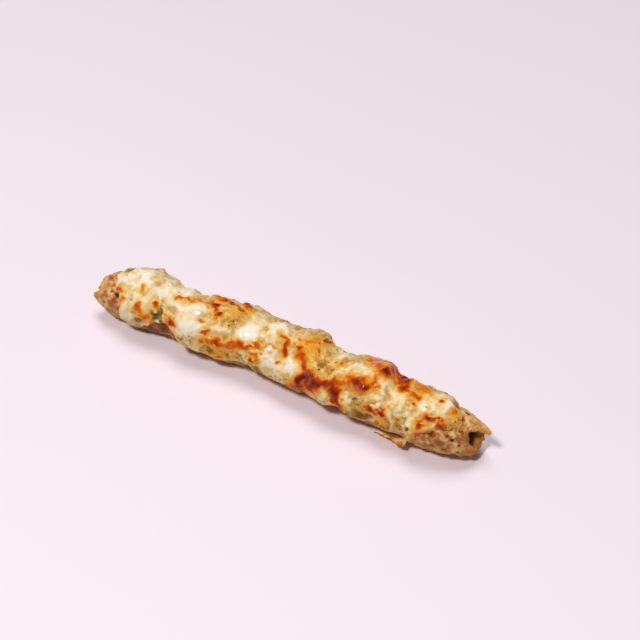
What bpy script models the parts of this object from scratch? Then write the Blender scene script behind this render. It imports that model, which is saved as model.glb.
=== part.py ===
"""A kofta kebab: minced chicken moulded by hand round a skewer and baked under melted cheese.

It has been slid off the skewer. The roll lies along X with its open end at +X, resting on Z = 0. The near
side is at -Y. An angle round the roll is measured from the top, and grows towards the near side.
"""

import math

import bmesh
import bpy
from mathutils import Vector, noise

MM = 0.001

# The roll of meat
LEFT_MOUTH, RIGHT_MOUTH = -99 * MM, 101 * MM  # without the torn points of the lips
AXIS_HEIGHT = 11.5 * MM  # the skewer's line above the plate
MEAN_RADIUS = 13 * MM
SKEWER_RADIUS = 3.3 * MM
LEFT_MOUTH_RADIUS = 4.6 * MM  # where each rounded end meets the lip of the skewer hole
RIGHT_MOUTH_RADIUS = 5.0 * MM
LEFT_ROUNDING = 18 * MM  # how far each end takes to close in
RIGHT_ROUNDING = 27 * MM
LEFT_LIP_DEPTH, RIGHT_LIP_DEPTH = 3.5 * MM, 6 * MM  # how far the hole flares behind each lip
LIP_ROUNDING = 0.4 * MM
STATION_STEP = 2.7 * MM
END_STEPS = 8
HOLE_STEPS = 12
SEGMENTS = 32

# The hand's humps and waists: place along X and radius of the meat, in mm
GIRTH = (
    (-104, 12.2), (-90, 12.4), (-73, 13.6), (-57, 12.0), (-40, 12.9), (-26, 13.3), (-11, 11.7), (2, 13.0),
    (14, 13.9), (28, 12.4), (40, 12.9), (49, 13.7), (59, 12.0), (72, 12.2), (84, 12.3), (104, 11.6),
)
# How far the meat sits to the far side of the skewer's line: place along X and distance, in mm
DRIFT = (
    (-104, -2.6), (-98, -1.4), (-90, -0.6), (-74, 1.6), (-50, -0.6), (-26, 2.6), (12, 3.0), (28, -0.6),
    (38, 0.2), (51, 0.6), (60, -2.0), (80, -1.8), (90, -1.4), (98, -1.0), (104, -0.4),
)
# Creases that the cook's fingers pressed: place along X, depth, and how far each slants round the roll
GROOVES = (
    (-60 * MM, 1.5 * MM, 5 * MM),
    (-13 * MM, 0.8 * MM, -6 * MM),
    (27 * MM, 1.0 * MM, 7 * MM),
    (62 * MM, 1.2 * MM, 5 * MM),
)
GROOVE_WIDTH = 9 * MM
COARSE_LUMP, COARSE_SIZE = 1.3 * MM, 15 * MM
FINE_LUMP, FINE_SIZE = 0.7 * MM, 6.5 * MM

# The lips, torn when the skewer came out: end, angle, how far out (in where negative), width in degrees
TEARS = (
    (-1, 105, 3.0 * MM, 22),
    (-1, -70, 1.4 * MM, 30),
    (1, -34, 3.8 * MM, 16),
    (1, -72, -0.8 * MM, 24),
    (1, 30, -5.0 * MM, 50),
    (1, 88, -3.4 * MM, 48),
)
TEAR_REACH = 14 * MM  # how far behind the lip the meat is pulled along
POINT_SHARPNESS, BITE_SHARPNESS = 4, 2  # how fast a torn point or a bite fades away behind the lip

# The cheese
CHEESE_GAP = 0.45 * MM
CHEESE_LENGTH_STEPS = 62
CHEESE_ROUND_STEPS = 19
EDGE_THICKNESS = 0.7 * MM
CHEESE_THICKNESS = 1.7 * MM
POOL_RELIEF, POOL_SIZE = 1.0 * MM, 13 * MM
POOL_SHIFT = Vector((3, 7, 1))  # keeps the pools' noise apart from the meat's
EDGE_WIDTH = 3.0 * MM  # over which the flow's front rounds down

# Lower edge of the cheese on each side: place along X in mm, and the angle in degrees that it hangs to
NEAR_HEM = (
    (-92, 112), (-82, 110), (-77, 119), (-72, 112), (-68, 97), (-63, 80), (-58, 74), (-53, 84), (-47, 104),
    (-38, 102), (-29, 112), (-20, 104), (-8, 112), (4, 106), (16, 98), (26, 112), (36, 100), (46, 108),
    (54, 98), (64, 108), (72, 114), (76, 108), (94, 108),
)
FAR_HEM = (
    (-92, -84), (-82, -84), (-72, -100), (-62, -84), (-50, -104), (-38, -90), (-24, -108), (-10, -92),
    (4, -106), (18, -92), (30, -102), (44, -90), (56, -100), (68, -84), (78, -96), (86, -90), (94, -90),
)
# The cheese's end at each end of the roll: angle in degrees, and place along X in mm
LEFT_BORDER = (
    (-100, -83), (-60, -86), (-30, -90), (-6, -91), (17, -88.5), (31, -87), (45, -84), (61, -83),
    (90, -82.5), (112, -80),
)
RIGHT_BORDER = (
    (-100, 82), (-50, 86), (-19, 88), (-2, 92), (30, 93), (42, 89.5), (55, 83), (75, 77.5), (90, 75.5),
    (112, 73),
)

# Swollen blisters in the cheese: place along X in mm, angle, half length and half width in mm, height in mm
BLISTERS = (
    (-70, 64, 6, 4, 0.9), (-64, 43, 4, 3, 0.9), (-55, 57, 4, 4, 0.9), (-44, 1, 7, 3, 0.6),
    (-36, 56, 3, 3, 0.6), (-22, 63, 7, 3, 1.0), (-27, -18, 8, 3, 0.9), (2, 19, 4, 4, 0.7),
    (11, 34, 5, 4, 1.1), (20, 62, 6, 4, 1.1), (29, 54, 5, 3, 0.9), (41, 32, 7, 4, 1.6),
    (34, 70, 4, 5, 0.9), (15, -27, 6, 4, 0.9), (50, -6, 6, 5, 1.0), (61, -8, 5, 4, 1.0),
    (56, 66, 6, 5, 1.0), (79, 33, 5, 4, 1.2), (76, 48, 4, 4, 0.9), (86, 44, 4, 3, 0.9),
)
# Where a second lobe ran down over the first: angle in degrees, and place along X in mm
LOBE_FRONT = ((20, -66), (36, -63.7), (48, -62), (62, -59.8), (90, -57))
LOBE_MIDDLE, LOBE_SPAN = 66, 42  # degrees
LOBE_STEP, LOBE_WIDTH = 0.9 * MM, 5 * MM


def along(table, place):
    """Reads a smooth curve through a table of (place, value)."""
    place = min(max(place, table[0][0]), table[-1][0])
    for (x0, low), (x1, high) in zip(table, table[1:]):
        if place <= x1:
            share = (place - x0) / (x1 - x0)
            ease = share * share * (3 - 2 * share)
            return low + (high - low) * ease
    return table[-1][1]


def swell(distance, reach):
    """A round bump: 1 at its middle, falling smoothly to 0."""
    return math.exp(-2 * (distance / reach) ** 2)


def from_mouth(x):
    """How far a place is from the nearer mouth."""
    return min(x - LEFT_MOUTH, RIGHT_MOUTH - x)


def plain_radius(x):
    """The roll before fingers and cooking: humps and waists, closing to a rounded end on each side."""
    rounding = LEFT_ROUNDING if x < 0 else RIGHT_ROUNDING
    mouth = LEFT_MOUTH_RADIUS if x < 0 else RIGHT_MOUTH_RADIUS
    inside = min(1.0, max(0.0, from_mouth(x) / rounding))
    return mouth + (along(GIRTH, x / MM) * MM - mouth) * math.sqrt(1 - (1 - inside) ** 2)


def meat_relief(x, angle):
    """Finger creases and lumps of mince, as a height over the plain roll."""
    relief = 0.0
    for place, depth, slant in GROOVES:
        relief -= depth * swell(x - place - slant * math.sin(angle), GROOVE_WIDTH)
    point = Vector((x, MEAN_RADIUS * math.sin(angle), MEAN_RADIUS * math.cos(angle)))
    relief += COARSE_LUMP * noise.noise(point / COARSE_SIZE)
    relief += FINE_LUMP * noise.noise(point / FINE_SIZE)
    return relief * plain_radius(x) / MEAN_RADIUS


def on_roll(x, angle, radius, drift):
    """The place at that radius round the drifted middle, pressed flat where it would pass the plate."""
    height = AXIS_HEIGHT + radius * math.cos(angle)
    return Vector((x, drift - radius * math.sin(angle), max(0.0, height)))


def tear(x, angle):
    """How far the torn lips move a place along X: out in thin points, and in over a wider stretch."""
    end = 1 if x > 0 else -1
    nearness = min(1.0, max(0.0, 1 - from_mouth(x) / TEAR_REACH))
    moved = 0.0
    for side, degrees, length, width in TEARS:
        if side == end:
            turn = math.remainder(math.degrees(angle) - degrees, 360)
            sharpness = POINT_SHARPNESS if length > 0 else BITE_SHARPNESS
            moved += length * swell(turn, width) * nearness**sharpness
    return end * moved


def roll_profile():
    """Half of the roll's long section, as (x, radius): over the outside and back through the hole."""
    left, right = LEFT_MOUTH + LEFT_ROUNDING, RIGHT_MOUTH - RIGHT_ROUNDING
    steps = [math.pi / 2 * i / END_STEPS for i in range(END_STEPS)]
    outside = [LEFT_MOUTH + LEFT_ROUNDING * (1 - math.cos(step)) for step in steps]
    count = round((right - left) / STATION_STEP)
    outside += [left + (right - left) * i / count for i in range(count + 1)]
    outside += [RIGHT_MOUTH - RIGHT_ROUNDING * (1 - math.cos(step)) for step in reversed(steps)]
    points = [(x, plain_radius(x)) for x in outside]
    deep_left, deep_right = LEFT_MOUTH + LEFT_LIP_DEPTH, RIGHT_MOUTH - RIGHT_LIP_DEPTH
    points.append((RIGHT_MOUTH - LIP_ROUNDING, (SKEWER_RADIUS + RIGHT_MOUTH_RADIUS) / 2))
    for i in range(HOLE_STEPS + 1):
        points.append((deep_right + (deep_left - deep_right) * i / HOLE_STEPS, SKEWER_RADIUS))
    points.append((LEFT_MOUTH + LIP_ROUNDING, (SKEWER_RADIUS + LEFT_MOUTH_RADIUS) / 2))
    return points


def material(name, colour, roughness):
    made = bpy.data.materials.new(name)
    made.use_nodes = True
    shader = made.node_tree.nodes["Principled BSDF"]
    shader.inputs["Base Color"].default_value = (*colour, 1)
    shader.inputs["Roughness"].default_value = roughness
    shader.inputs["Metallic"].default_value = 0
    return made


def add_part(name, shape, finish, collection):
    """Turns a bmesh into a named, smooth-shaded object."""
    bmesh.ops.recalc_face_normals(shape, faces=shape.faces)
    mesh = bpy.data.meshes.new(name)
    shape.to_mesh(mesh)
    shape.free()
    mesh.materials.append(finish)
    mesh.shade_smooth()
    part = bpy.data.objects.new(name, mesh)
    collection.objects.link(part)
    return part


def make_meat(collection):
    """The roll, turned from its profile, then moulded: grooves, lumps, torn lips and a flat underside."""
    shape = bmesh.new()
    corners = [shape.verts.new((x, 0, radius)) for x, radius in roll_profile()]
    edges = [shape.edges.new(pair) for pair in zip(corners, corners[1:] + corners[:1])]
    bmesh.ops.spin(
        shape,
        geom=corners + edges,
        cent=(0, 0, 0),
        axis=(1, 0, 0),
        angle=2 * math.pi,
        steps=SEGMENTS,
        use_merge=True,
    )
    for vert in shape.verts:
        x = vert.co.x
        radius = math.hypot(vert.co.y, vert.co.z)
        angle = math.atan2(-vert.co.y, vert.co.z)
        outside = min(1.0, max(0.0, (radius - SKEWER_RADIUS) / (LEFT_MOUTH_RADIUS - SKEWER_RADIUS)))
        moulded = radius + outside * meat_relief(x, angle)
        drift = outside * along(DRIFT, x / MM) * MM
        vert.co = on_roll(x + tear(x, angle), angle, moulded, drift)
    return add_part("kofta_meat", shape, material("kofta meat", (0.52, 0.33, 0.19), 0.6), collection)


def cheese_thickness(x, angle, to_edge):
    """Thick in pools and blisters, and rounding down at the flow's front."""
    point = Vector((x, MEAN_RADIUS * math.sin(angle), MEAN_RADIUS * math.cos(angle)))
    thickness = CHEESE_THICKNESS + POOL_RELIEF * noise.noise(point / POOL_SIZE + POOL_SHIFT)
    for place, degrees, half_length, half_width, height in BLISTERS:
        lengthwise = (x / MM - place) / half_length
        crosswise = MEAN_RADIUS / MM * (angle - math.radians(degrees)) / half_width
        thickness += height * MM * swell(math.hypot(lengthwise, crosswise), 1.0)
    turn = math.degrees(angle)
    ahead = x - along(LOBE_FRONT, turn) * MM
    step = swell(ahead - LOBE_WIDTH / 2, LOBE_WIDTH) - swell(ahead + LOBE_WIDTH / 2, LOBE_WIDTH)
    thickness += LOBE_STEP * step * swell(turn - LOBE_MIDDLE, LOBE_SPAN)
    front = min(1.0, to_edge / EDGE_WIDTH)
    return EDGE_THICKNESS + (thickness - EDGE_THICKNESS) * math.sqrt(1 - (1 - front) ** 2)


def make_cheese(collection):
    """The cheese, made as a flat slab and wrapped over the meat between its two hems."""
    shape = bmesh.new()
    bmesh.ops.create_grid(shape, x_segments=CHEESE_LENGTH_STEPS, y_segments=CHEESE_ROUND_STEPS, size=1)
    raised = bmesh.ops.extrude_face_region(shape, geom=shape.faces[:])["geom"]
    upper = {item for item in raised if isinstance(item, bmesh.types.BMVert)}
    for vert in shape.verts:
        across = (vert.co.y + 1) / 2
        facing = LEFT_BORDER[0][0] + (LEFT_BORDER[-1][0] - LEFT_BORDER[0][0]) * across
        left, right = along(LEFT_BORDER, facing) * MM, along(RIGHT_BORDER, facing) * MM
        x = left + (right - left) * (vert.co.x + 1) / 2
        near, far = math.radians(along(NEAR_HEM, x / MM)), math.radians(along(FAR_HEM, x / MM))
        angle = far + (near - far) * across
        to_hem = min(near - angle, angle - far) * MEAN_RADIUS
        to_edge = min(to_hem, x - left, right - x)
        radius = plain_radius(x) + meat_relief(x, angle) + CHEESE_GAP
        if vert in upper:
            radius += cheese_thickness(x, angle, max(0.0, to_edge))
        vert.co = on_roll(x + tear(x, angle), angle, radius, along(DRIFT, x / MM) * MM)
    return add_part("melted_cheese", shape, material("melted cheese", (0.86, 0.72, 0.45), 0.35), collection)


def main():
    for old in list(bpy.data.objects):
        bpy.data.objects.remove(old)
    collection = bpy.data.collections.new("kofta_kebab")
    bpy.context.scene.collection.children.link(collection)
    make_meat(collection)
    make_cheese(collection)


main()
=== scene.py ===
import math
import random

import bmesh
import bpy
import numpy as np
from mathutils import Matrix, Vector, noise
from mathutils.bvhtree import BVHTree


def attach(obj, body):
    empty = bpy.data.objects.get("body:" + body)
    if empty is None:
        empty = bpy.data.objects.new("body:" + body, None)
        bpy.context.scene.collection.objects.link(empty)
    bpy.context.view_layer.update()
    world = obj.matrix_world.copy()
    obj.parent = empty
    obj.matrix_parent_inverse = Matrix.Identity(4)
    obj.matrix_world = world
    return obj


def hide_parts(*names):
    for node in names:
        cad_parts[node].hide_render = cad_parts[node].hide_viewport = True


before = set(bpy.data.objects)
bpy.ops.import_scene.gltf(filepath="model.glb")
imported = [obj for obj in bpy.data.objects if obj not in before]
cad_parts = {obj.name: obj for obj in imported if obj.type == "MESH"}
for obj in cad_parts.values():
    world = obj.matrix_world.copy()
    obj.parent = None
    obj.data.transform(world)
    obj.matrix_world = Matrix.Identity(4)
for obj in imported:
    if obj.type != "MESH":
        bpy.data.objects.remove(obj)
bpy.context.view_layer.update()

# The roll of meat. A real kofta is minced chicken with onion and herbs, squeezed by hand round a skewer,
# so it has humps between the fingers' waists, a pebbly skin of mince, and a torn mouth at each end where
# the skewer came out.
MM = 0.001
LEFT_MOUTH, RIGHT_MOUTH = -99 * MM, 101 * MM
AXIS_HEIGHT = 11.5 * MM
MEAN_RADIUS = 13 * MM
SKEWER_RADIUS = 3.3 * MM
LEFT_MOUTH_RADIUS, RIGHT_MOUTH_RADIUS = 4.6 * MM, 5.0 * MM
LEFT_ROUNDING, RIGHT_ROUNDING = 18 * MM, 27 * MM
LEFT_LIP_DEPTH, RIGHT_LIP_DEPTH = 3.5 * MM, 6 * MM
LIP_ROUNDING = 0.4 * MM
TEAR_REACH = 14 * MM
COARSE_LUMP, COARSE_SIZE = 1.3 * MM, 15 * MM
FINE_LUMP, FINE_SIZE = 0.7 * MM, 6.5 * MM
GROOVE_WIDTH = 9 * MM
MEAT_STEP = 0.6 * MM
MEAT_SEGMENTS = 140
LEFT_STEPS, RIGHT_STEPS = 34, 50
HOLE_STEPS = 110
GRAIN_SIZE = 3.0 * MM
GRAIN_DEPTH = 0.4 * MM

# Place along X in mm, and radius of the meat in mm
GIRTH = (
    (-104, 12.2), (-90, 12.4), (-73, 13.6), (-57, 12.0), (-40, 12.9), (-26, 13.3), (-11, 11.7), (2, 13.0),
    (14, 13.9), (28, 12.4), (40, 12.9), (49, 13.7), (59, 12.0), (72, 12.2), (84, 12.3), (104, 11.6),
)
# Place along X in mm, and how far the meat sits to the far side of the skewer's line, in mm
DRIFT = (
    (-104, -2.6), (-98, -1.4), (-90, -0.6), (-74, 1.6), (-50, -0.6), (-26, 2.6), (12, 3.0), (28, -0.6),
    (38, 0.2), (51, 0.6), (60, -2.0), (80, -1.8), (90, -1.4), (98, -1.0), (104, -0.4),
)
# Finger creases: place along X, depth and slant
GROOVES = (
    (-60 * MM, 1.5 * MM, 5 * MM),
    (-13 * MM, 0.8 * MM, -6 * MM),
    (27 * MM, 1.0 * MM, 7 * MM),
    (62 * MM, 1.2 * MM, 5 * MM),
)
# The lips' torn points, or bites where the length is negative: end, angle, length, and width in degrees
TEARS = (
    (-1, 105, 3.0 * MM, 22),
    (-1, -70, 1.4 * MM, 30),
    (1, -34, 3.8 * MM, 16),
    (1, -72, -0.8 * MM, 24),
    (1, 30, -5.0 * MM, 50),
    (1, 88, -3.4 * MM, 48),
)
# Scorched specks and pits on the bare ends, and broad dark patches on the meat below the cheese's near hem,
# which are painted shade: place along X in mm, angle, radius in mm, how dark from 0 to 1
END_SPOTS = (
    (-86.2, 52, 1.5, 1.0), (-89.6, 47, 0.7, 0.7), (-86.5, 67, 1.4, 0.6), (-93.4, 54, 1.1, 0.45),
    (-90, 30, 1.0, 0.4), (-94.5, 8, 1.2, 0.5), (-90.5, -14, 1.4, 0.5), (-84, 84, 1.6, 0.5),
    (-60, 100, 3.0, 0.75), (-93, 84, 1.3, 0.5), (89, 57, 0.8, 0.8), (91.8, 66, 1.1, 1.0),
    (96, 80, 0.8, 1.0), (93.8, 60, 1.5, 0.45), (87, 80, 1.8, 0.6), (92.2, -25, 1.2, 0.9),
    (92.2, 3, 1.3, 0.5), (83, 96, 1.8, 0.5), (90.5, 92, 1.2, 0.5), (97.5, 60, 0.8, 0.5),
    (95, 108, 1.0, 0.6), (98, 20, 0.7, 0.4), (95, -40, 1.2, 0.5), (82, 66, 2.2, 0.62),
    (86.5, 84, 2.6, 0.55), (88.5, 102, 2.2, 0.42), (79, 84, 2.2, 0.4), (-88, 78, 3.6, 0.34),
    (-80, 108, 3.6, 0.4), (-92, 62, 2.0, 0.36), (-60, 92, 5.0, 0.66), (-67, 112, 4.0, 0.66),
    (-52, 100, 4.0, 0.6), (-93, 34, 3.2, 0.3), (-95, 72, 3.0, 0.3), (-91, -24, 3.4, 0.34),
    (-64, 116, 3.0, 0.7), (-40, 116, 3.0, 0.6),
)


def along(table, x):
    """Reads a smooth curve through a table of (millimetres along X, value), at places in metres."""
    places, values = np.array(table, float).T
    x = np.clip(x / MM, places[0], places[-1])
    left = np.clip(np.searchsorted(places, x, side="right") - 1, 0, len(places) - 2)
    share = (x - places[left]) / (places[left + 1] - places[left])
    return values[left] + (values[left + 1] - values[left]) * share**2 * (3 - 2 * share)


def swell(distance, reach):
    """A round bump: 1 at its middle, falling smoothly to 0."""
    return np.exp(-2 * (distance / reach) ** 2)


def lumps(points, size, shift=(0, 0, 0)):
    """Soft noise from -1 to 1 at each point, with features of that size."""
    move = Vector(shift)
    return np.array([noise.noise(Vector(p) / size + move) for p in points])


def pebbles(points, size):
    """Rounded grains of mince: 1 on top of each and 0 in the cracks between them."""
    gaps = []
    for point in points:
        nearest = noise.voronoi(Vector(point) / size)[0]
        gaps.append(nearest[1] - nearest[0])
    return np.sqrt(np.clip(np.array(gaps) / 0.45, 0, 1))


def from_mouth(x):
    """Distance to the nearer mouth, along X."""
    return np.minimum(x - LEFT_MOUTH, RIGHT_MOUTH - x)


def plain_radius(x):
    """The smooth roll's radius, which rounds in to each mouth."""
    rounding = np.where(x < 0, LEFT_ROUNDING, RIGHT_ROUNDING)
    mouth = np.where(x < 0, LEFT_MOUTH_RADIUS, RIGHT_MOUTH_RADIUS)
    inside = np.clip(from_mouth(x) / rounding, 0, 1)
    return mouth + (along(GIRTH, x) * MM - mouth) * np.sqrt(1 - (1 - inside) ** 2)


def on_cylinder(x, angle):
    """Places on a plain cylinder, where the noise is read so that it runs on from meat to cheese."""
    return np.stack([x, MEAN_RADIUS * np.sin(angle), MEAN_RADIUS * np.cos(angle)], axis=1)


def meat_relief(x, angle):
    """Finger creases and lumps of mince, as a height over the plain roll."""
    relief = np.zeros(len(x))
    for place, depth, slant in GROOVES:
        relief -= depth * swell(x - place - slant * np.sin(angle), GROOVE_WIDTH)
    points = on_cylinder(x, angle)
    relief += COARSE_LUMP * lumps(points, COARSE_SIZE) + FINE_LUMP * lumps(points, FINE_SIZE)
    return relief * plain_radius(x) / MEAN_RADIUS


def on_roll(x, angle, radius, drift):
    """Places at that angle from the top towards the viewer's side, pressed flat where the roll lies."""
    height = AXIS_HEIGHT + radius * np.cos(angle)
    return np.stack([x, drift - radius * np.sin(angle), np.maximum(0, height)], axis=1)


def tear(x, angle):
    """How far the torn lips move a place along X: out in thin points, and in over a wider stretch."""
    end = np.where(x > 0, 1, -1)
    nearness = np.clip(1 - from_mouth(x) / TEAR_REACH, 0, 1)
    moved = np.zeros(len(x))
    for side, degrees, length, width in TEARS:
        turn = (np.degrees(angle) - degrees + 180) % 360 - 180
        fading = nearness ** (4 if length > 0 else 2)
        moved += np.where(end == side, length * swell(turn, width) * fading, 0)
    return end * moved


def coordinates(mesh):
    """The mesh's corners as an array with a row for each."""
    flat = np.empty(len(mesh.vertices) * 3)
    mesh.vertices.foreach_get("co", flat)
    return flat.reshape(-1, 3)


def store(mesh, name, values):
    """Keeps one number for each vertex, which the material reads by this name."""
    kept = mesh.attributes.new(name, "FLOAT", "POINT")
    kept.data.foreach_set("value", np.asarray(values, np.float32))


def finish_mesh(name, shape):
    """Turns a bmesh shape into a smooth mesh of that name."""
    mesh = bpy.data.meshes.new(name)
    shape.to_mesh(mesh)
    shape.free()
    mesh.shade_smooth()
    return mesh


def move_corners(mesh, placed):
    """Puts the mesh's corners at those places, and then turns its faces outward."""
    mesh.vertices.foreach_set("co", placed.ravel())
    shape = bmesh.new()
    shape.from_mesh(mesh)
    bmesh.ops.recalc_face_normals(shape, faces=shape.faces)
    shape.to_mesh(mesh)
    shape.free()
    mesh.update()


def add_piece(mesh, material, slot, *nodes):
    """Adds a finished mesh as a piece that rides on the roll, in place of the solids it replaces."""
    piece = bpy.data.objects.new(mesh.name, mesh)
    bpy.context.scene.collection.objects.link(piece)
    mesh.materials.append(material)
    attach(piece, "root")
    if nodes:
        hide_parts(*nodes)


def rounded(steps):
    """Shares of a rounded end's length, close together at its mouth."""
    return [1 - math.cos(math.pi / 2 * step / steps) for step in range(steps)]


left_end = [LEFT_MOUTH + LEFT_ROUNDING * share for share in rounded(LEFT_STEPS)]
right_end = [RIGHT_MOUTH - RIGHT_ROUNDING * share for share in reversed(rounded(RIGHT_STEPS))]
first, last = LEFT_MOUTH + LEFT_ROUNDING, RIGHT_MOUTH - RIGHT_ROUNDING
middle = list(np.linspace(first, last, round((last - first) / MEAT_STEP)))
stations = np.array(left_end + middle + right_end)
deep_left, deep_right = LEFT_MOUTH + LEFT_LIP_DEPTH, RIGHT_MOUTH - RIGHT_LIP_DEPTH
left_lip, right_lip = (SKEWER_RADIUS + LEFT_MOUTH_RADIUS) / 2, (SKEWER_RADIUS + RIGHT_MOUTH_RADIUS) / 2
profile = list(zip(stations, plain_radius(stations)))
for share in np.linspace(0, 1, 8)[:-1]:
    inward = RIGHT_MOUTH - LIP_ROUNDING + (deep_right - RIGHT_MOUTH + LIP_ROUNDING) * share
    profile.append((inward, right_lip + (SKEWER_RADIUS - right_lip) * share))
profile += [(place, SKEWER_RADIUS) for place in np.linspace(deep_right, deep_left, HOLE_STEPS)]
for share in np.linspace(0, 1, 5)[1:]:
    outward = deep_left + (LEFT_MOUTH + LIP_ROUNDING - deep_left) * share
    profile.append((outward, SKEWER_RADIUS + (left_lip - SKEWER_RADIUS) * share))

shape = bmesh.new()
corners = [shape.verts.new((x, 0, radius)) for x, radius in profile]
edges = [shape.edges.new(pair) for pair in zip(corners, corners[1:] + corners[:1])]
bmesh.ops.spin(
    shape,
    geom=corners + edges,
    cent=(0, 0, 0),
    axis=(1, 0, 0),
    angle=2 * math.pi,
    steps=MEAT_SEGMENTS,
    use_merge=True,
)
meat_mesh = finish_mesh("minced_meat", shape)
turned = coordinates(meat_mesh)
x = turned[:, 0]
radius = np.hypot(turned[:, 1], turned[:, 2])
angle = np.arctan2(-turned[:, 1], turned[:, 2])
outside = np.clip((radius - SKEWER_RADIUS) / (LEFT_MOUTH_RADIUS - SKEWER_RADIUS), 0, 1)
inner = radius < plain_radius(x) - 0.1 * MM
points = on_cylinder(x, angle) * np.clip(radius / MEAN_RADIUS, 0.25, 1)[:, None] ** (0, 1, 1)
warp = np.stack([lumps(points, 3.4 * MM, (k, 3, 1)) for k in (11, 22, 33)], axis=1) * 1.6 * MM
grain = pebbles(points + warp, GRAIN_SIZE)
strength = np.clip(0.6 + 1.1 * lumps(points, 6 * MM, (4, 4, 4)), 0.1, 1.2)
ripple = lumps(points, 2.2 * MM, (5, 5, 5)) + 0.5 * lumps(points, 1.0 * MM, (6, 5, 5))
scorch_and_shade_spots = np.zeros(len(x))
for place, degrees, size, dark in END_SPOTS:
    turn = (angle - math.radians(degrees)) * MEAN_RADIUS
    scorch_and_shade_spots = np.maximum(scorch_and_shade_spots, dark * swell(np.hypot(x - place * MM, turn), 1.5 * size * MM))
relief = meat_relief(x, angle) - GRAIN_DEPTH * strength * (1 - grain) + 0.6 * MM * ripple - 0.8 * MM * scorch_and_shade_spots
torn = np.clip(1 - from_mouth(x) / (9 * MM), 0, 1)
hole_relief = outside * meat_relief(x, angle) + (0.35 + 0.5 * torn) * MM * ripple
radius = radius + np.where(inner, hole_relief, relief)
drift = outside * along(DRIFT, x) * MM
at_lip = np.clip(1 - from_mouth(x) / (5 * MM), 0, 1)
tatter = lumps(points, 2.2 * MM, (3, 9, 9)) + 0.7 * lumps(points, 1.1 * MM, (9, 3, 9))
tatter *= at_lip * 0.75 * MM * np.sign(x)
placed = on_roll(x + tear(x, angle) + tatter, angle, radius, drift)
move_corners(meat_mesh, placed)
store(meat_mesh, "grain", grain)
# Scorched specks and pits, and the broad patches of painted shade below the cheese's near hem
store(meat_mesh, "scorch_and_shade", scorch_and_shade_spots)
# Depth into the skewer's hole, for painted shade that darkens its wall inwards
store(meat_mesh, "hole_shade_depth", np.where(inner, np.clip(from_mouth(x) / (7 * MM), 0, 1), 0))
# How far the meat turns down on either side, for painted shade towards the floor
store(meat_mesh, "painted_shade", np.clip((abs(np.degrees(angle)) - 66) / 50, 0, 1))
store(meat_mesh, "lip", at_lip)


def paint(red, green, blue):
    """A colour as an eye sees it, from 0 to 255, in the linear values that a shader takes."""
    shares = [value / 255 for value in (red, green, blue)]
    return (*[s / 12.92 if s <= 0.04045 else ((s + 0.055) / 1.055) ** 2.4 for s in shares], 1)


class Finish:
    """A new material, and short ways to add and join its nodes."""

    def __init__(self, name):
        self.material = bpy.data.materials.new(name)
        self.material.use_nodes = True
        self.nodes = self.material.node_tree.nodes
        self.shader = self.nodes["Principled BSDF"]
        self.place = self.nodes.new("ShaderNodeTexCoord").outputs["Object"]

    def link(self, value, socket):
        """Joins an output to a socket, or sets the socket to a plain value."""
        if isinstance(value, bpy.types.NodeSocket):
            self.material.node_tree.links.new(value, socket)
        else:
            socket.default_value = value

    def stored(self, name):
        """The number kept for each vertex by that name."""
        node = self.nodes.new("ShaderNodeAttribute")
        node.attribute_name = name
        return node.outputs["Fac"]

    def mottle(self, size, detail=3, roughness=0.55, distortion=0.0):
        """Noise from 0 to 1 with blotches of that size in metres."""
        node = self.nodes.new("ShaderNodeTexNoise")
        self.link(self.place, node.inputs["Vector"])
        node.inputs["Scale"].default_value = 1 / size
        node.inputs["Detail"].default_value = detail
        node.inputs["Roughness"].default_value = roughness
        node.inputs["Distortion"].default_value = distortion
        return node.outputs["Fac"]

    def math(self, operation, first, second):
        """One sum or product of two values, each a number or an output."""
        node = self.nodes.new("ShaderNodeMath")
        node.operation = operation
        for value, socket in zip((first, second), node.inputs):
            self.link(value, socket)
        return node.outputs[0]

    def blend(self, *parts):
        """A sum of (value, weight) pairs, each value taken from its middle, 0.5."""
        total = 0.5
        for value, weight in parts:
            swing = self.math("MULTIPLY", self.math("SUBTRACT", value, 0.5), weight)
            total = self.math("ADD", swing, total)
        return total

    def spread(self, value, low, high, new_low=0.0, new_high=1.0):
        """Stretches the range from low to high onto a new one, with soft ends."""
        node = self.nodes.new("ShaderNodeMapRange")
        node.interpolation_type = "SMOOTHSTEP"
        for item, socket in zip((value, low, high, new_low, new_high), node.inputs):
            self.link(item, socket)
        return node.outputs["Result"]

    def ramp(self, value, *stops):
        """Colours in place of values, through (value, colour) stops."""
        node = self.nodes.new("ShaderNodeValToRGB")
        self.link(value, node.inputs["Fac"])
        elements = node.color_ramp.elements
        for place, colour in stops[1:-1]:
            elements.new(place)
        for element, (place, colour) in zip(elements, stops):
            element.position = place
            element.color = colour
        return node.outputs["Color"]

    def mix(self, share, first, second, blend="MIX"):
        """The first colour with that share of the second laid over it."""
        node = self.nodes.new("ShaderNodeMix")
        node.data_type = "RGBA"
        node.blend_type = blend
        self.link(share, node.inputs[0])
        self.link(first, node.inputs[6])
        self.link(second, node.inputs[7])
        return node.outputs[2]

    def bump(self, height, distance):
        """Fine relief that is too small for the mesh."""
        node = self.nodes.new("ShaderNodeBump")
        self.link(height, node.inputs["Height"])
        node.inputs["Distance"].default_value = distance
        self.link(node.outputs["Normal"], self.shader.inputs["Normal"])


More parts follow.
